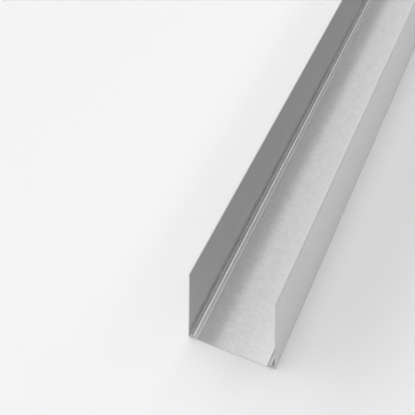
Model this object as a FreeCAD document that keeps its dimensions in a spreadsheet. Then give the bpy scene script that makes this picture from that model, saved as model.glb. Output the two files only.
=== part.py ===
"""Drywall track: one length of galvanised sheet, rolled to a U section with a raised bead beside each bend.

The track lies on its web with the flanges up. X runs across the web, Y along the track and Z up.
The origin is on the underside of the web, in the middle of the length. Lengths are in millimetres.
"""
import FreeCAD
import Part

import enum
import math
import os

import Sketcher

# Driving sizes, each with what it measures.
SIZES = {
    "track_length": (3048.0, "ten feet, the length that such stock is sold in"),
    "inside_width": (41.3, "between the flanges at their bends, for a stud of one and five eighths inches"),
    "flange_height": (50.8, "floor to the top edge of a flange, a deep leg of two inches"),
    "sheet_thickness": (0.48, "25 gauge sheet with its zinc"),
    "toe_in_angle": (2.6, "lean of each flange towards the other, in degrees, which grips the stud"),
    "bend_radius": (0.4, "inside radius of the bend from web to flange"),
    "bead_rise": (2.0, "underside of the web to the underside of a bead's crest"),
    "crest_radius": (0.6, "inside radius of the bead's crest"),
    "foot_radius": (0.5, "inside radius where the bead runs out into the web"),
    "web_slope_angle": (74.0, "slope of the bead's side towards the web, in degrees"),
    "bend_slope_angle": (80.0, "slope of the bead's side towards the flange, in degrees"),
}


class Spot(enum.IntEnum):
    """Which point of a curve a sketch constraint holds."""

    START = 1
    END = 2
    CENTRE = 3


class Axis(enum.IntEnum):
    """A sketch's own axes, as its constraints number them."""

    X = -1
    Z = -2


ORIGIN = (Axis.X, Spot.START)


def fill_sheet(doc):
    """Put the driving sizes in a spreadsheet, one aliased cell each."""
    sheet = doc.addObject("Spreadsheet::Sheet", "Sizes")
    for row, (name, (value, meaning)) in enumerate(SIZES.items(), start=1):
        sheet.set(f"A{row}", name)
        sheet.set(f"B{row}", str(value))
        sheet.setAlias(f"B{row}", name)
        sheet.set(f"C{row}", meaning)
    doc.recompute()
    return sheet


def origin_plane(body, role):
    """Find one of the body's own origin planes by its role."""
    return next(feature for feature in body.Origin.OriginFeatures if feature.Role == role)


class Bend:
    """One bend of the sheet, met while walking from the middle of the web to the top of the flange."""

    def __init__(self, name, centre, inside_radius, thickness, heading_in, heading_out):
        self.name = name
        self.centre = centre
        self.heading_in = heading_in
        self.heading_out = heading_out
        self.turns_up = heading_out > heading_in
        outside_radius = inside_radius + thickness
        # A bend that turns up has its centre above the sheet, so its underside is the larger arc.
        self.radius = {
            "under": outside_radius if self.turns_up else inside_radius,
            "top": inside_radius if self.turns_up else outside_radius,
        }

    def touch(self, side, heading):
        """Point where the arc of one side of the sheet has the given heading."""
        swing = heading - math.pi / 2 if self.turns_up else heading + math.pi / 2
        reach = FreeCAD.Vector(math.cos(swing), math.sin(swing), 0) * self.radius[side]
        return self.centre + reach

    def arc(self, side):
        """Arc of one side of the sheet, counted anticlockwise as a sketch keeps it."""
        circle = Part.Circle(self.centre, FreeCAD.Vector(0, 0, 1), self.radius[side])
        if self.turns_up:
            return Part.ArcOfCircle(circle, self.heading_in - math.pi / 2, self.heading_out - math.pi / 2)
        return Part.ArcOfCircle(circle, self.heading_out + math.pi / 2, self.heading_in + math.pi / 2)

    def ends(self):
        """Which ends of the arc the walk enters and leaves by."""
        return (Spot.START, Spot.END) if self.turns_up else (Spot.END, Spot.START)


def slope_run(rise, radii, slope):
    """Distance across between the centres of two bends that a straight slope joins.

    radii is the sum of the two radii on one side of the sheet, and rise the height between their far sides.
    """
    straight = (rise - radii * (1 - math.cos(slope))) / math.sin(slope)
    return radii * math.sin(slope) + straight * math.cos(slope)


def section_bends(sheet):
    """The three bends of half a section: the bead's foot, its crest and the bend to the flange."""
    thickness = sheet.sheet_thickness
    web_slope = math.radians(sheet.web_slope_angle)
    bend_slope = math.radians(sheet.bend_slope_angle)
    flange_heading = math.radians(90 + sheet.toe_in_angle)

    bend_outside = sheet.bend_radius + thickness
    foot_outside = sheet.foot_radius + thickness
    bend_x = sheet.inside_width / 2 - sheet.bend_radius
    crest_x = bend_x - slope_run(sheet.bead_rise, bend_outside + sheet.crest_radius, bend_slope)
    foot_x = crest_x - slope_run(sheet.bead_rise, foot_outside + sheet.crest_radius, web_slope)

    foot_centre = FreeCAD.Vector(foot_x, foot_outside, 0)
    crest_centre = FreeCAD.Vector(crest_x, sheet.bead_rise - sheet.crest_radius, 0)
    bend_centre = FreeCAD.Vector(bend_x, bend_outside, 0)
    return [
        Bend("foot", foot_centre, sheet.foot_radius, thickness, 0, web_slope),
        Bend("crest", crest_centre, sheet.crest_radius, thickness, web_slope, -bend_slope),
        Bend("bend", bend_centre, sheet.bend_radius, thickness, -bend_slope, flange_heading),
    ]


def draw_side(sketch, bends, side, start, flange_top):
    """Draw one side of the sheet as straights and arcs, each tangent to the next.

    Returns the straights and the arcs as lists of sketch indices, in walking order.
    """
    straights = []
    arcs = []
    here = start
    for bend in bends:
        straights.append(sketch.addGeometry(Part.LineSegment(here, bend.touch(side, bend.heading_in))))
        arcs.append(sketch.addGeometry(bend.arc(side)))
        here = bend.touch(side, bend.heading_out)
    straights.append(sketch.addGeometry(Part.LineSegment(here, flange_top)))

    for index, bend in enumerate(bends):
        entry, leaving = bend.ends()
        sketch.addConstraint(Sketcher.Constraint("Tangent", straights[index], Spot.END, arcs[index], entry))
        sketch.addConstraint(Sketcher.Constraint("Tangent", arcs[index], leaving, straights[index + 1], Spot.START))
    return straights, arcs


def bind(sketch, constraint, name, expression):
    """Add a named constraint whose value follows the spreadsheet."""
    index = sketch.addConstraint(constraint)
    sketch.renameConstraint(index, name)
    sketch.setExpression(f".Constraints.{name}", expression)


def draw_section(sketch, sheet):
    """Draw half the section, from the middle of the web to the top edge of one flange."""
    bends = section_bends(sheet)
    thickness = sheet.sheet_thickness
    lean = math.radians(sheet.toe_in_angle)

    # The cut edge at the top of the flange is square to the flange, and its outer corner is the highest point.
    flange_foot = bends[-1].touch("under", bends[-1].heading_out)
    climb = sheet.flange_height - flange_foot.y
    outer_top = FreeCAD.Vector(flange_foot.x - climb * math.tan(lean), sheet.flange_height, 0)
    inner_top = outer_top - FreeCAD.Vector(math.cos(lean), math.sin(lean), 0) * thickness

    middle_under = FreeCAD.Vector(0, 0, 0)
    middle_top = FreeCAD.Vector(0, thickness, 0)
    under, under_arcs = draw_side(sketch, bends, "under", middle_under, outer_top)
    top, top_arcs = draw_side(sketch, bends, "top", middle_top, inner_top)
    edge = sketch.addGeometry(Part.LineSegment(outer_top, inner_top))
    middle = sketch.addGeometry(Part.LineSegment(middle_under, middle_top))

    closing = [
        Sketcher.Constraint("Coincident", under[0], Spot.START, *ORIGIN),
        Sketcher.Constraint("Horizontal", under[0]),
        Sketcher.Constraint("PointOnObject", top[0], Spot.START, Axis.Z),
        Sketcher.Constraint("Horizontal", top[0]),
        Sketcher.Constraint("Coincident", middle, Spot.START, under[0], Spot.START),
        Sketcher.Constraint("Coincident", middle, Spot.END, top[0], Spot.START),
        Sketcher.Constraint("Coincident", edge, Spot.START, under[-1], Spot.END),
        Sketcher.Constraint("Coincident", edge, Spot.END, top[-1], Spot.END),
        Sketcher.Constraint("Perpendicular", edge, under[-1]),
        Sketcher.Constraint("Parallel", under[-1], top[-1]),
    ]
    sketch.addConstraint(closing)

    # Each bend's two arcs share a centre, and the sheet's thickness is the step between their radii.
    for bend, under_arc, top_arc in zip(bends, under_arcs, top_arcs):
        sketch.addConstraint(Sketcher.Constraint("Coincident", under_arc, Spot.CENTRE, top_arc, Spot.CENTRE))
        inside = f"Sizes.{bend.name}_radius"
        outside = f"{inside} + Sizes.sheet_thickness"
        for side, arc in (("under", under_arc), ("top", top_arc)):
            is_outside = bend.turns_up == (side == "under")
            radius = Sketcher.Constraint("Radius", arc, bend.radius[side])
            bind(sketch, radius, f"{bend.name}_{side}", outside if is_outside else inside)

    foot, crest, corner = bends
    _, crest_arc, corner_arc = under_arcs
    _, web_slope, bend_slope, flange = under
    bind(sketch, Sketcher.Constraint("DistanceX", *ORIGIN, corner_arc, Spot.CENTRE, corner.centre.x),
         "half_width", "Sizes.inside_width / 2 - Sizes.bend_radius")
    bind(sketch, Sketcher.Constraint("DistanceY", *ORIGIN, corner_arc, Spot.CENTRE, corner.centre.y),
         "bend_level", "Sizes.bend_radius + Sizes.sheet_thickness")
    bind(sketch, Sketcher.Constraint("DistanceY", *ORIGIN, crest_arc, Spot.CENTRE, crest.centre.y),
         "crest_level", "Sizes.bead_rise - Sizes.crest_radius")
    bind(sketch, Sketcher.Constraint("Angle", web_slope, foot.heading_out),
         "web_slope", "Sizes.web_slope_angle * 1 deg")
    bind(sketch, Sketcher.Constraint("Angle", bend_slope, crest.heading_out),
         "bend_slope", "-Sizes.bend_slope_angle * 1 deg")
    bind(sketch, Sketcher.Constraint("Angle", flange, corner.heading_out),
         "flange_lean", "90 deg + Sizes.toe_in_angle * 1 deg")
    bind(sketch, Sketcher.Constraint("DistanceY", *ORIGIN, flange, Spot.END, outer_top.y),
         "flange_top", "Sizes.flange_height")


def make_track(doc, sheet):
    """Roll the track: half the section along the whole length, then the other half as its mirror image."""
    body = doc.addObject("PartDesign::Body", "Track")
    body.Label = "track"

    section = body.newObject("Sketcher::SketchObject", "HalfSection")
    section.AttachmentSupport = [(origin_plane(body, "XZ_Plane"), "")]
    section.MapMode = "FlatFace"
    doc.recompute()
    draw_section(section, sheet)
    doc.recompute()

    half = body.newObject("PartDesign::Pad", "HalfTrack")
    half.Profile = section
    half.SideType = "Symmetric"
    half.setExpression("Length", "Sizes.track_length")
    doc.recompute()

    whole = body.newObject("PartDesign::Mirrored", "WholeTrack")
    whole.Originals = [half]
    whole.MirrorPlane = (origin_plane(body, "YZ_Plane"), [""])
    body.Tip = whole
    doc.recompute()
    return body


def check(doc, pieces):
    """Stop if any object failed to build or any piece isn't one valid solid."""
    for item in doc.Objects:
        if "Invalid" in item.State or "Error" in item.State:
            raise RuntimeError(f"{item.Label} did not build: {item.State}")
    for piece in pieces:
        if piece.Shape.isNull() or not piece.Shape.isValid() or len(piece.Shape.Solids) != 1:
            raise RuntimeError(f"{piece.Label} is not one valid solid")


def main():
    """Build the document and write each piece to its own file."""
    doc = FreeCAD.newDocument("DrywallTrack")
    sheet = fill_sheet(doc)
    pieces = [make_track(doc, sheet)]
    check(doc, pieces)
    os.makedirs("parts", exist_ok=True)
    for piece in pieces:
        piece.Shape.exportStep(f"parts/{piece.Label}.step")
        box = piece.Shape.BoundBox
        print(piece.Label, "volume", round(piece.Shape.Volume, 1), "box", box.XLength, box.YLength, box.ZLength)


main()
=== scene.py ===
"""Looks of a galvanised drywall track that lies on a pale studio floor.

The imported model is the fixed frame: metres, X across the web, Y along the track and Z up. The track is one
rolled sheet, so it is one piece here too: its section is walked bend by bend and swept along the packed
length.
"""

import logging
import math
from dataclasses import dataclass, field
from enum import Enum, IntEnum
from typing import Any

import bpy
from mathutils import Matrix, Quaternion, Vector

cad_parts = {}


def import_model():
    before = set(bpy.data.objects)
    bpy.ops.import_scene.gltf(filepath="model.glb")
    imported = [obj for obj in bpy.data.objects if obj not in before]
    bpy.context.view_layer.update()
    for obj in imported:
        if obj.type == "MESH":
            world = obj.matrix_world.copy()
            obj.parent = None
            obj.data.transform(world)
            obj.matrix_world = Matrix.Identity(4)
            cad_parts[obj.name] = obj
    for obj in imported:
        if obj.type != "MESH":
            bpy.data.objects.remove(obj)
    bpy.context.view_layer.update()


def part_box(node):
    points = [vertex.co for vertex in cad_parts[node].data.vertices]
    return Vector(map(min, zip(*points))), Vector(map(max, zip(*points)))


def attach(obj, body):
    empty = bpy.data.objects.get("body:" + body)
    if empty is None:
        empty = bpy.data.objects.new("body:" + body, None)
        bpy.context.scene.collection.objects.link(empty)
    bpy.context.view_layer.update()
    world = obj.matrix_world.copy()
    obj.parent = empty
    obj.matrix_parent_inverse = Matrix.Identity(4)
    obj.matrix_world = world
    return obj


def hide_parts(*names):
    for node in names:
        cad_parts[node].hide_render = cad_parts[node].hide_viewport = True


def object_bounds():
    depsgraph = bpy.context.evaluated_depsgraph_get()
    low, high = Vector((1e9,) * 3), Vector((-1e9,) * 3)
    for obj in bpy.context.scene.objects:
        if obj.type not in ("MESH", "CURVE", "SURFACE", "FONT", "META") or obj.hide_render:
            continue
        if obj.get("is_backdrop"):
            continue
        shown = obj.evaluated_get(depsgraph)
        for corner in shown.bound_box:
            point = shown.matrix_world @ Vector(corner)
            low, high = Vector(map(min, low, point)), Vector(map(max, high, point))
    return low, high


LOG = logging.getLogger("drywall_track")

MM = 0.001
PICTURE_PIXELS = 415
SENSOR_MM = 36.0
BAKE_MAP = "OFBake"
# The sRGB curve is a straight toe and then a power of the shifted value.
SRGB_TOE = 0.04045
SRGB_TOE_SLOPE = 12.92
SRGB_OFFSET = 0.055
SRGB_POWER = 2.4

Tree = bpy.types.NodeTree
Node = bpy.types.Node
Socket = bpy.types.NodeSocket
Point = tuple[float, float]
Key = str | int


def linear(hex_colour: str) -> tuple[float, float, float, float]:
    """Turn an sRGB hex colour into linear red, green, blue and a full alpha.

    Args:
        hex_colour: Six hex digits after a hash sign, such as "#c8c9ca".

    Returns:
        Linear red, green, blue and alpha, each from 0 to 1.
    """
    channels = [int(hex_colour[i:i + 2], 16) / 255 for i in (1, 3, 5)]
    red, green, blue = (
        c / SRGB_TOE_SLOPE if c <= SRGB_TOE else ((c + SRGB_OFFSET) / (1 + SRGB_OFFSET)) ** SRGB_POWER
        for c in channels)
    return red, green, blue, 1.0


def add_node(tree: Tree, kind: str, settings: dict[Key, Any],
             links: dict[Key, Socket] | None = None) -> Node:
    """Add one node with its settings and its links.

    Args:
        tree: Node tree that gets the node.
        kind: Blender's name of the node type.
        settings: Values for the node's own properties or, where it has none of that name, for its inputs.
        links: Output sockets of other nodes, by the name or number of the input that each feeds.

    Returns:
        The new node.
    """
    node = tree.nodes.new(kind)
    for name, value in settings.items():
        if isinstance(name, str) and hasattr(node, name):
            setattr(node, name, value)
        else:
            node.inputs[name].default_value = value
    for name, output in (links or {}).items():
        tree.links.new(output, node.inputs[name])
    return node


def new_material(name: str) -> tuple[bpy.types.Material, Tree]:
    """Start a material with an empty node tree.

    Args:
        name: Name of the material.

    Returns:
        The material and its node tree.
    """
    material = bpy.data.materials.new(name)
    material.use_nodes = True
    material.node_tree.nodes.clear()
    return material, material.node_tree


def set_levels(ramp: bpy.types.ColorRamp, levels: list[Point]) -> None:
    """Set a colour ramp to a row of greys.

    Args:
        ramp: The ramp of a new node, which has two stops.
        levels: Places along the ramp, from 0 to 1, each with its grey level.
    """
    stops = ramp.elements
    stops.remove(stops[1])
    for number, (place, level) in enumerate(levels):
        stop = stops.new(place) if number else stops[0]
        stop.position = place
        stop.color = (level, level, level, 1.0)


class Finish(IntEnum):
    """Material slots of the track's mesh."""

    SHEET = 0
    CUT = 1


class Side(Enum):
    """The two faces of the sheet: the underside, and the top that faces into the channel."""

    UNDER = -1
    TOP = 1


@dataclass(frozen=True)
class WorkedAndHighlightZone:
    """Where the rolls bent the sheet most, and where its paler colour is also a painted highlight, in
    millimetres.

    Foot, crest and bend are distances from the web's middle, and top is a height over the floor. No change
    between worked and plain sheet takes more than the length fade. On the slope from the crest down to the
    bend, the worked colour and its painted highlight come only in the share outer_slope, so that side is
    painted darker than the crest.
    """

    foot: float
    crest: float
    bend: float
    top: float
    fade: float = 0.8
    outer_slope: float = 0.5

    def amounts(self) -> list[Point]:
        """Distances from the web's middle, each with how far the sheet is worked and painted with highlight
        there, from 0 to 1.
        """
        half = self.fade / 2
        quarter = self.fade / 4
        return [(self.foot - half, 0.0), (self.foot + half, 1.0), (self.crest - quarter, 1.0),
                (self.crest + quarter, self.outer_slope), (self.bend - half, self.outer_slope),
                (self.bend - quarter, 1.0), (self.bend + quarter, 1.0), (self.bend + half, 0.0)]


@dataclass(frozen=True)
class GalvanisedSheet:
    """Hot-dip galvanised steel sheet, temper rolled and roll-formed.

    The zinc is a neutral silver grey. It mirrors its surroundings softly, with faint small crystals, cloudy
    patches and hairline marks of the rolls along the length. The flanges are duller than the web. Where the
    rolls bent the sheet, on the beads and in the bends, it is paler and a little chalky, and this paler
    colour is also a painted highlight along the beads.
    """

    name: str = "hot_dip_galvanised_steel"
    pale_zinc: str = "#d9d9d9"
    dark_zinc: str = "#cbcbcb"
    metallic: float = 0.8
    roughness_low: float = 0.16
    roughness_high: float = 0.22
    flange_roughness: float = 0.32
    crystal_mm: float = 1.4
    crystal_share: float = 0.5
    cloud_mm: float = 5.0
    cloud_share: float = 0.32
    cloud_detail: float = 3.0
    streak_mm: float = 0.9
    streak_length_mm: float = 90.0
    streak_share: float = 0.3
    streak_detail: float = 2.0
    grain_mm: float = 0.7
    grain_detail: float = 2.0
    grain_depth_mm: float = 0.004
    grain_strength: float = 0.3
    worked_zinc_and_painted_highlight: str = "#fafafa"
    worked_metallic: float = 0.6
    worked_roughness: float = 0.2

    def pattern(self, tree: Tree, place: Socket) -> Socket:
        """Weigh crystals, clouds and roll streaks into one number, which the shade and the gloss follow.

        Args:
            tree: Node tree of the material.
            place: Place on the track, in metres.

        Returns:
            A number from about 0 to 1.
        """
        crystals = add_node(tree, "ShaderNodeTexVoronoi", {"Scale": 1 / (self.crystal_mm * MM)},
                            {"Vector": place})
        crystal = add_node(tree, "ShaderNodeSeparateColor", {}, {"Color": crystals.outputs["Color"]})
        clouds = add_node(tree, "ShaderNodeTexNoise",
                          {"Scale": 1 / (self.cloud_mm * MM), "Detail": self.cloud_detail},
                          {"Vector": place})
        draw_out = (1.0, self.streak_mm / self.streak_length_mm, 1.0)
        drawn_out = add_node(tree, "ShaderNodeVectorMath", {"operation": "MULTIPLY", 1: draw_out},
                             {0: place})
        streaks = add_node(tree, "ShaderNodeTexNoise",
                           {"Scale": 1 / (self.streak_mm * MM), "Detail": self.streak_detail},
                           {"Vector": drawn_out.outputs["Vector"]})
        speckled = add_node(tree, "ShaderNodeMath", {"operation": "MULTIPLY", 1: self.crystal_share},
                            {0: crystal.outputs["Red"]})
        patchy = add_node(tree, "ShaderNodeMath", {"operation": "MULTIPLY_ADD", 1: self.cloud_share},
                          {0: clouds.outputs["Fac"], 2: speckled.outputs["Value"]})
        mixed = add_node(tree, "ShaderNodeMath", {"operation": "MULTIPLY_ADD", 1: self.streak_share},
                         {0: streaks.outputs["Fac"], 2: patchy.outputs["Value"]})
        return mixed.outputs["Value"]

    def zones(self, tree: Tree, place: Socket, zone: WorkedAndHighlightZone) -> tuple[Socket, Socket]:
        """Mark the beads and bends, where worked zinc and a painted highlight go, and the flanges above
        them, alike on the left and on the right.

        Args:
            tree: Node tree of the material.
            place: Place on the track, in metres.
            zone: Where the rolls bent the sheet and the beads get a painted highlight.

        Returns:
            How far the sheet is worked and painted with highlight, and whether it is flange, both from 0 to
            1.
        """
        widest = zone.bend + zone.fade
        axes = add_node(tree, "ShaderNodeSeparateXYZ", {}, {"Vector": place})
        aside = add_node(tree, "ShaderNodeMath", {"operation": "ABSOLUTE"}, {0: axes.outputs["X"]})
        reach = add_node(tree, "ShaderNodeMapRange", {"From Max": widest * MM},
                         {"Value": aside.outputs["Value"]})
        bent_and_highlight = add_node(tree, "ShaderNodeValToRGB", {}, {"Fac": reach.outputs["Result"]})
        set_levels(bent_and_highlight.color_ramp, [(distance / widest, amount) for distance, amount in zone.amounts()])
        flange = add_node(tree, "ShaderNodeMapRange",
                          {"From Min": zone.top * MM, "From Max": (zone.top + zone.fade) * MM},
                          {"Value": axes.outputs["Z"]}).outputs["Result"]
        below = add_node(tree, "ShaderNodeMath", {"operation": "SUBTRACT", 0: 1.0}, {1: flange})
        worked_and_highlight = add_node(tree, "ShaderNodeMath", {"operation": "MULTIPLY"},
                          {0: bent_and_highlight.outputs["Color"], 1: below.outputs["Value"]})
        return worked_and_highlight.outputs["Value"], flange

    def material(self, zone: WorkedAndHighlightZone) -> bpy.types.Material:
        """Build the material.

        Args:
            zone: Where the rolls bent the sheet and the beads get a painted highlight.

        Returns:
            A metal whose shade and roughness vary with the pattern and with the worked zone, whose paler
            colour is partly a painted highlight.
        """
        material, tree = new_material(self.name)
        place = add_node(tree, "ShaderNodeTexCoord", {}).outputs["Object"]
        mixed = self.pattern(tree, place)
        worked_and_highlight, flange = self.zones(tree, place, zone)
        shade = add_node(tree, "ShaderNodeMix",
                         {"data_type": "RGBA", "A": linear(self.dark_zinc), "B": linear(self.pale_zinc)},
                         {"Factor": mixed})
        gloss = add_node(tree, "ShaderNodeMapRange",
                         {"To Min": self.roughness_low, "To Max": self.roughness_high}, {"Value": mixed})
        # Painted highlight: the paler worked zinc stands partly for light on the beads and bends, and only
        # at half share on the crest's outer slope, which is painted darker.
        colour = add_node(tree, "ShaderNodeMix", {"data_type": "RGBA", "B": linear(self.worked_zinc_and_painted_highlight)},
                          {"Factor": worked_and_highlight, "A": shade.outputs["Result"]})
        metal = add_node(tree, "ShaderNodeMapRange",
                         {"To Min": self.metallic, "To Max": self.worked_metallic}, {"Value": worked_and_highlight})
        dull = add_node(tree, "ShaderNodeMapRange", {"To Max": self.flange_roughness},
                        {"Value": flange, "To Min": gloss.outputs["Result"]})
        rough = add_node(tree, "ShaderNodeMapRange", {"To Max": self.worked_roughness},
                         {"Value": worked_and_highlight, "To Min": dull.outputs["Result"]})
        # The temper rolls leave a grain of about 0.2 mm. It is drawn coarser, so that it shows.
        grain = add_node(tree, "ShaderNodeTexNoise",
                         {"Scale": 1 / (self.grain_mm * MM), "Detail": self.grain_detail},
                         {"Vector": place})
        relief = add_node(tree, "ShaderNodeBump",
                          {"Strength": self.grain_strength, "Distance": self.grain_depth_mm * MM},
                          {"Height": grain.outputs["Fac"]})
        shader = add_node(tree, "ShaderNodeBsdfPrincipled", {},
                          {"Base Color": colour.outputs["Result"], "Metallic": metal.outputs["Result"],
                           "Roughness": rough.outputs["Result"], "Normal": relief.outputs["Normal"]})
        add_node(tree, "ShaderNodeOutputMaterial", {}, {"Surface": shader.outputs["BSDF"]})
        return material


@dataclass(frozen=True)
class ShearedEdge:
    """Bare steel where the coil was slit and the track was cut to length.

    A shear leaves a burnished band and a torn one, so the edge is mottled in two greys, a little darker than
    the zinc.
    """

    name: str = "sheared_steel_edge"
    burnished: str = "#d8d8d8"
    torn: str = "#bcbcbc"
    roughness: float = 0.35
    scratch_mm: float = 0.25
    scratch_detail: float = 1.0

    def material(self) -> bpy.types.Material:
        """Build the material.

        Returns:
            A rough metal in two greys.
        """
        material, tree = new_material(self.name)
        place = add_node(tree, "ShaderNodeTexCoord", {}).outputs["Object"]
        scratches = add_node(tree, "ShaderNodeTexNoise",
                             {"Scale": 1 / (self.scratch_mm * MM), "Detail": self.scratch_detail},
                             {"Vector": place})
        shade = add_node(tree, "ShaderNodeMix",
                         {"data_type": "RGBA", "A": linear(self.torn), "B": linear(self.burnished)},
                         {"Factor": scratches.outputs["Fac"]})
        shader = add_node(tree, "ShaderNodeBsdfPrincipled", {"Metallic": 1.0, "Roughness": self.roughness},
                          {"Base Color": shade.outputs["Result"]})
        add_node(tree, "ShaderNodeOutputMaterial", {}, {"Surface": shader.outputs["BSDF"]})
        return material


@dataclass(frozen=True)
class Bend:
    """One bend of the sheet's middle line, met on the walk from the web's middle to a flange's top edge."""

    centre: Point
    radius: float
    heading_in: float
    heading_out: float

    def line(self, offset: float, step: float) -> list[Point]:
        """Points of the bend on the line that lies a given distance above the sheet's middle line.

        Args:
            offset: Distance above the middle line, in millimetres, negative below it.
            step: Largest turn between two points, in radians.

        Returns:
            Points from the start of the bend to its end.
        """
        turn = self.heading_out - self.heading_in
        inward = 1 if turn > 0 else -1
        radius = self.radius - inward * offset
        count = max(2, math.ceil(abs(turn) / step))
        swings = [self.heading_in + turn * i / count - inward * math.pi / 2 for i in range(count + 1)]
        x, z = self.centre
        return [(x + radius * math.cos(swing), z + radius * math.sin(swing)) for swing in swings]


@dataclass(frozen=True)
class TrackSection:
    """The rolled section, in millimetres and degrees, with the same sizes as the solid."""

    inside_width: float = 41.3
    flange_height: float = 50.8
    thickness: float = 0.48
    toe_in: float = 2.6
    bend_radius: float = 0.4
    bead_rise: float = 2.0
    crest_radius: float = 0.6
    foot_radius: float = 0.5
    web_slope: float = 74.0
    bend_slope: float = 80.0
    arc_step: float = 9.0
    web_strips: int = 6
    flange_strips: int = 10

    def slope_run(self, low_radius: float, slope: float) -> float:
        """Distance across from the crest's centre to a lower bend's centre.

        Args:
            low_radius: Inside radius of the lower bend.
            slope: Slope between the two, in radians.

        Returns:
            The distance in millimetres.
        """
        radii = low_radius + self.thickness + self.crest_radius
        straight = (self.bead_rise - radii * (1 - math.cos(slope))) / math.sin(slope)
        return radii * math.sin(slope) + straight * math.cos(slope)

    def bends(self) -> list[Bend]:
        """The bead's foot, its crest and the bend to the flange, on the right half of the section."""
        half = self.thickness / 2
        web_slope = math.radians(self.web_slope)
        bend_slope = math.radians(self.bend_slope)
        bend_x = self.inside_width / 2 - self.bend_radius
        crest_x = bend_x - self.slope_run(self.bend_radius, bend_slope)
        foot_x = crest_x - self.slope_run(self.foot_radius, web_slope)
        foot_centre = (foot_x, self.foot_radius + self.thickness)
        crest_centre = (crest_x, self.bead_rise - self.crest_radius)
        bend_centre = (bend_x, self.bend_radius + self.thickness)
        return [
            Bend(foot_centre, self.foot_radius + half, 0.0, web_slope),
            Bend(crest_centre, self.crest_radius + half, web_slope, -bend_slope),
            Bend(bend_centre, self.bend_radius + half, -bend_slope, math.radians(90 + self.toe_in)),
        ]

    def worked_and_highlight_zone(self) -> WorkedAndHighlightZone:
        """Where the rolls bent the sheet, with a painted highlight there too: the bead from its foot to its
        crest, and the bend beside it.
        """
        foot, crest, bend = (each.centre[0] for each in self.bends())
        return WorkedAndHighlightZone(foot, crest, bend, self.bead_rise + self.thickness)

    def half_line(self, offset: float, tip_offset: float, tip_length: float) -> list[Point]:
        """Walk one side of the sheet from the web's middle to the top of the right flange.

        Args:
            offset: Distance of this side above the sheet's middle line.
            tip_offset: The same at the very top edge, where the shear has rounded the sheet off.
            tip_length: How far below the top edge that rounding starts.

        Returns:
            Points as distance across and height.
        """
        points: list[Point] = [(0.0, self.thickness / 2 + offset)]
        for number, bend in enumerate(self.bends()):
            arc = bend.line(offset, math.radians(self.arc_step))
            strips = self.web_strips if number == 0 else 1
            points += between(points[-1], arc[0], strips)
            points += arc[1:]
        lean = math.radians(self.toe_in)
        x, z = points[-1]
        # The cut is square to the flange, and the outer corner is the highest point of the section.
        top = self.flange_height - (offset + self.thickness / 2) * math.sin(lean)
        climb = (top - z) / math.cos(lean)
        straight = climb - tip_length
        shoulder = (x - straight * math.sin(lean), z + straight * math.cos(lean))
        slip = offset - tip_offset
        tip = (x - climb * math.sin(lean) + slip * math.cos(lean),
               z + climb * math.cos(lean) + slip * math.sin(lean))
        return points + between(points[-1], shoulder, self.flange_strips) + [tip]

    def ring(self, trim: float, tip_trim: float) -> list[Point]:
        """The closed outline of the section, the underside from left to right and then the top side back.

        Args:
            trim: How far both sides are drawn in, as at a sheared end.
            tip_trim: How far they are drawn in at the flanges' top edges.

        Returns:
            Points as distance across and height.
        """
        outline: list[Point] = []
        for side in Side:
            offset = side.value * (self.thickness / 2 - trim)
            tip_offset = side.value * (self.thickness / 2 - max(trim, tip_trim))
            right = self.half_line(offset, tip_offset, tip_trim)
            left = [(-x, z) for x, z in reversed(right[1:])]
            line = left + right
            outline += line if side is Side.UNDER else list(reversed(line))
        return outline


def between(start: Point, end: Point, strips: int) -> list[Point]:
    """Divide a straight into equal strips.

    Args:
        start: First point, which isn't repeated.
        end: Last point.
        strips: How many strips to make.

    Returns:
        The points after the first one.
    """
    shares = [i / strips for i in range(1, strips + 1)]
    return [(start[0] + (end[0] - start[0]) * s, start[1] + (end[1] - start[1]) * s) for s in shares]


@dataclass(frozen=True)
class Patch:
    """One face of the track: its corners, their places on the flat map of the sheet, and its finish."""

    corners: tuple[int, ...]
    places: tuple[Point, ...]
    finish: Finish


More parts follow.
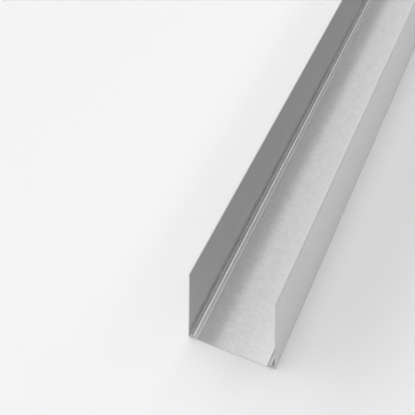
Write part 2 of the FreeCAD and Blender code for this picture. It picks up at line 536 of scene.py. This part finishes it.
@dataclass
class Track:
    """The whole track: one rolled sheet with sheared ends and slit edges.

    Its flat map lays the length out in rows, one above the other, with the two cut ends in strips over them.
    """

    node: str = "track"
    piece: str = "galvanised_track"
    slot: str = "galvanised_steel"
    section: TrackSection = field(default_factory=TrackSection)
    sheet: GalvanisedSheet = field(default_factory=GalvanisedSheet)
    edge: ShearedEdge = field(default_factory=ShearedEdge)
    shear_round_mm: float = 0.07
    stretch_mm: float = 50.8
    sharp_degrees: float = 30.0
    map_rows: int = 3
    map_gap: float = 0.01
    map_end_height: float = 0.03

    def stations(self) -> list[tuple[float, float]]:
        """Places along the track where the section is set, each with how far the sheet is drawn in there."""
        low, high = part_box(self.node)
        near = low.y / MM
        far = high.y / MM
        first = near + self.shear_round_mm
        last = far - self.shear_round_mm
        count = round((last - first) / self.stretch_mm)
        inner = [first + (last - first) * i / count for i in range(count + 1)]
        return [(near, self.shear_round_mm), *((y, 0.0) for y in inner), (far, self.shear_round_mm)]

    def patches(self, ring: list[Point], stations: list[tuple[float, float]]) -> list[Patch]:
        """Faces between the stations and over the two cut ends.

        Args:
            ring: The section's closed outline.
            stations: Places along the track.

        Returns:
            The faces, each with its places on the flat map.
        """
        count = len(ring)
        run = [0.0]
        for here, there in zip(ring, ring[1:] + ring[:1]):
            run.append(run[-1] + math.dist(here, there))
        bands = len(stations) - 1
        per_row = math.ceil(bands / self.map_rows)
        tall = (1 - 2 * self.map_end_height) / self.map_rows
        made: list[Patch] = []
        for band in range(bands):
            row, column = divmod(band, per_row)
            across = [(column + step) / per_row for step in (0, 1)]
            for index in range(count):
                after = (index + 1) % count
                up = [(row + self.map_gap + (1 - 2 * self.map_gap) * run[i] / run[-1]) * tall
                      for i in (index, index + 1)]
                corners = (band * count + index, band * count + after,
                           (band + 1) * count + after, (band + 1) * count + index)
                places = ((across[0], up[0]), (across[0], up[1]), (across[1], up[1]), (across[1], up[0]))
                is_cut = self.is_tip(index, count) or band in (0, bands - 1)
                made.append(Patch(corners, places, Finish.CUT if is_cut else Finish.SHEET))
        return made + self.end_patches(count, bands)

    @staticmethod
    def is_tip(index: int, count: int) -> bool:
        """Whether the outline's edge after a point is part of a flange's slit edge."""
        half = count // 2
        # Each half of the outline starts and ends with a rounding, and its last edge crosses the sheet.
        return index % half in (0, half - 2, half - 1)

    def end_patches(self, count: int, bands: int) -> list[Patch]:
        """Faces of the two sheared ends, a strip of quads from the underside to the top side.

        Args:
            count: Points in the section's outline.
            bands: Stretches between the stations.

        Returns:
            The faces, mapped into two strips at the top of the flat map.
        """
        half = count // 2
        made: list[Patch] = []
        for end, first in enumerate((0, bands * count)):
            low = 1 - (2 - end) * self.map_end_height
            high = low + self.map_end_height * (1 - self.map_gap)
            for index in range(half - 1):
                corners = (first + index, first + count - 1 - index,
                           first + count - 2 - index, first + index + 1)
                left = index / (half - 1)
                right = (index + 1) / (half - 1)
                places = ((left, low), (left, high), (right, high), (right, low))
                if end == 1:
                    corners = corners[::-1]
                    places = places[::-1]
                made.append(Patch(corners, places, Finish.CUT))
        return made

    def build(self) -> bpy.types.Object:
        """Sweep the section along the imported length.

        Returns:
            The track as a closed mesh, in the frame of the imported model.
        """
        stations = self.stations()
        ring = self.section.ring(0.0, self.shear_round_mm)
        vertices: list[tuple[float, float, float]] = []
        for y, trim in stations:
            for x, z in self.section.ring(trim, self.shear_round_mm):
                vertices.append((x * MM, y * MM, z * MM))
        patches = self.patches(ring, stations)
        mesh = bpy.data.meshes.new(self.piece)
        mesh.from_pydata(vertices, [], [patch.corners for patch in patches])
        mesh.polygons.foreach_set("material_index", [int(patch.finish) for patch in patches])
        flat_map = mesh.uv_layers.new(name=BAKE_MAP)
        places = [number for patch in patches for place in patch.places for number in place]
        flat_map.uv.foreach_set("vector", places)
        mesh.shade_smooth()
        mesh.set_sharp_from_angle(angle=math.radians(self.sharp_degrees))
        mesh.validate()
        piece = bpy.data.objects.new(self.piece, mesh)
        bpy.context.scene.collection.objects.link(piece)
        even = piece.modifiers.new("even_normals", "WEIGHTED_NORMAL")
        even.keep_sharp = True
        return piece

    def dress(self, piece: bpy.types.Object) -> None:
        """Give the piece its finishes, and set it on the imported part.

        Args:
            piece: The built track.
        """
        piece.data.materials.append(self.sheet.material(self.section.worked_and_highlight_zone()))
        piece.data.materials.append(self.edge.material())
        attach(piece, "root")
        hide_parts(self.node)


@dataclass
class Studio:
    """A pale floor under a sky of soft bands of light along the track, and one long soft box overhead.

    A band of the sky is a place across the track and its level. The place is -1 at the left horizon, 0
    overhead and 1 at the right horizon. The levels began as a scratch program's fit of the metal's tones to
    the photograph's, and were then simplified and changed by hand. Low over the horizon the sky has a plain
    rim, about as pale as the lit floor.
    """

    floor_half_m: float = 40.0
    floor_drop_mm: float = 0.05
    floor_colour: str = "#f9f9f9"
    rim_colour: str = "#f2f2f2"
    rim_degrees: tuple[float, float] = (12.0, 16.0)
    sky: tuple[Point, ...] = (
        (-1.0, 1.9), (-0.7, 1.7), (-0.55, 0.65), (-0.35, 0.15), (-0.2, 1.1), (-0.05, 1.75), (0.05, 0.9),
        (0.12, 0.04), (0.21, 0.04), (0.3, 1.0), (0.36, 1.14), (0.42, 0.45), (0.5, 0.5), (0.6, 1.75),
        (0.75, 0.7), (1.0, 0.05))
    lamp_place_m: tuple[float, float, float] = (-0.35, -1.1, 2.0)
    lamp_size_m: tuple[float, float] = (0.7, 3.0)
    lamp_watts: float = 2.5

    def build(self) -> None:
        """Make the floor, the sky and the lamp."""
        self.lay_floor()
        self.light_sky()
        self.hang_lamp()

    def lay_floor(self) -> None:
        """A matt pale floor, on which the track casts its shadow."""
        half = self.floor_half_m
        drop = -self.floor_drop_mm * MM
        mesh = bpy.data.meshes.new("studio_floor")
        corners = [(-half, -half, drop), (half, -half, drop), (half, half, drop), (-half, half, drop)]
        mesh.from_pydata(corners, [], [(0, 1, 2, 3)])
        floor = bpy.data.objects.new("studio_floor", mesh)
        bpy.context.scene.collection.objects.link(floor)
        floor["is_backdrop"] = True

        material, tree = new_material("matt_white_paper")
        paper = add_node(tree, "ShaderNodeBsdfDiffuse", {"Color": linear(self.floor_colour)})
        add_node(tree, "ShaderNodeOutputMaterial", {}, {"Surface": paper.outputs["BSDF"]})
        mesh.materials.append(material)

    def light_sky(self) -> None:
        """A sky in soft bands over a plain rim, the same for the camera and for the metal."""
        world = bpy.data.worlds.new("studio_sky")
        bpy.context.scene.world = world
        world.use_nodes = True
        tree = world.node_tree
        tree.nodes.clear()
        direction = add_node(tree, "ShaderNodeTexCoord", {}).outputs["Generated"]
        across = add_node(tree, "ShaderNodeVectorMath", {"operation": "MULTIPLY", 1: (1.0, 0.0, 1.0)},
                          {0: direction})
        turned = add_node(tree, "ShaderNodeVectorMath", {"operation": "NORMALIZE"},
                          {0: across.outputs["Vector"]})
        axes = add_node(tree, "ShaderNodeSeparateXYZ", {}, {"Vector": turned.outputs["Vector"]})
        place = add_node(tree, "ShaderNodeMapRange", {"From Min": -1.0}, {"Value": axes.outputs["X"]})
        bands = add_node(tree, "ShaderNodeValToRGB", {}, {"Fac": place.outputs["Result"]})
        set_levels(bands.color_ramp, [((1 + side) / 2, level) for side, level in self.sky])
        upward = add_node(tree, "ShaderNodeSeparateXYZ", {}, {"Vector": direction})
        rim_low, rim_high = (math.sin(math.radians(angle)) for angle in self.rim_degrees)
        rim = add_node(tree, "ShaderNodeMapRange",
                       {"From Min": rim_low, "From Max": rim_high, "To Min": 1.0, "To Max": 0.0},
                       {"Value": upward.outputs["Z"]})
        shown = add_node(tree, "ShaderNodeMix", {"data_type": "RGBA", "B": linear(self.rim_colour)},
                         {"Factor": rim.outputs["Result"], "A": bands.outputs["Color"]})
        sky = add_node(tree, "ShaderNodeBackground", {"Strength": 1.0}, {"Color": shown.outputs["Result"]})
        add_node(tree, "ShaderNodeOutputWorld", {}, {"Surface": sky.outputs["Background"]})

    def hang_lamp(self) -> None:
        """One long soft box, level over the near end and the floor before it, a little to the left."""
        lamp = bpy.data.lights.new("soft_box", "AREA")
        lamp.shape = "RECTANGLE"
        lamp.size, lamp.size_y = self.lamp_size_m
        lamp.energy = self.lamp_watts
        box = bpy.data.objects.new("soft_box", lamp)
        low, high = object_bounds()
        near_end = Vector(((low.x + high.x) / 2, low.y, high.z / 2))
        box.location = near_end + Vector(self.lamp_place_m)
        box.visible_camera = False
        bpy.context.scene.collection.objects.link(box)


@dataclass(frozen=True)
class Viewpoint:
    """The photograph's camera, in millimetres from the middle of the track's near end, on the floor.

    Its values come from a fit to the track's edges and corners in the photograph.
    """

    eye: tuple[float, float, float] = (66.74, -160.77, 312.33)
    aim: tuple[float, float, float] = (-44.28, 72.99, 0.0)
    roll_degrees: float = -1.683
    focal_pixels: float = 785.2
    clip_start_m: float = 0.01

    def build(self) -> None:
        """Set up the camera."""
        low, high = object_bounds()
        near_end = Vector(((low.x + high.x) / 2, low.y, low.z))
        data = bpy.data.cameras.new("camera")
        data.sensor_width = SENSOR_MM
        data.lens = SENSOR_MM * self.focal_pixels / PICTURE_PIXELS
        data.clip_start = self.clip_start_m
        camera = bpy.data.objects.new("camera", data)
        camera.location = near_end + Vector(self.eye) * MM
        sight = Vector(self.aim) - Vector(self.eye)
        camera.rotation_mode = "QUATERNION"
        roll = Quaternion((0, 0, 1), math.radians(self.roll_degrees))
        camera.rotation_quaternion = sight.to_track_quat("-Z", "Y") @ roll
        bpy.context.scene.collection.objects.link(camera)
        bpy.context.scene.camera = camera


def main() -> None:
    """Build the track, the studio and the camera, in that order."""
    logging.basicConfig(level=logging.INFO, format="%(name)s: %(message)s")
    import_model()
    bpy.context.scene.view_settings.view_transform = "Standard"

    track = Track()
    piece = track.build()
    track.dress(piece)
    LOG.info("%s: %d faces", piece.name, len(piece.data.polygons))
    Studio().build()
    LOG.info("studio: floor, sky and lamp")
    Viewpoint().build()
    LOG.info("camera set")


if __name__ == "__main__":
    main()
